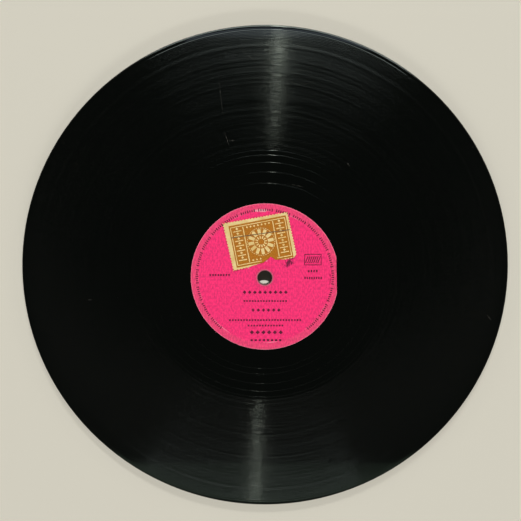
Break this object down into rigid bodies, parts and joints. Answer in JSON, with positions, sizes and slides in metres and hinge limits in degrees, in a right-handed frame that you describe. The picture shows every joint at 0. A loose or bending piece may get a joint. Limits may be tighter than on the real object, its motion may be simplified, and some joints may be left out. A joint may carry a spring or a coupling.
{
  "type": "shellac record",
  "caption": "Flat round shellac record with a fine spiral groove, a pink paper label, a gummed stamp on the label and a spindle hole.",
  "frame": {"origin": "centre of the spindle hole on the rear face, on which the record lies", "axes": "+Z along the spindle hole out of the front face, +Y towards the top of the front label, +X to its right"},
  "size_m": [0.25, 0.25, 0.0025],
  "materials": {
    "core_compound": "coarse filled shellac compound, dull",
    "kraft_paper": "brown kraft paper",
    "shellac": "pressed fine shellac, glossy black, grooved",
    "label_paper": "dyed pink paper with a pressed linen grain",
    "stamp_paper": "cream gummed paper printed in ochre"
  },
  "bodies": {
    "root": {"core": "core_compound", "front_interleaf": "kraft_paper", "rear_interleaf": "kraft_paper", "front_facing": "shellac", "rear_facing": "shellac", "front_label": "label_paper", "rear_label": "label_paper", "revenue_stamp": "stamp_paper"}
  },
  "joints": []
}
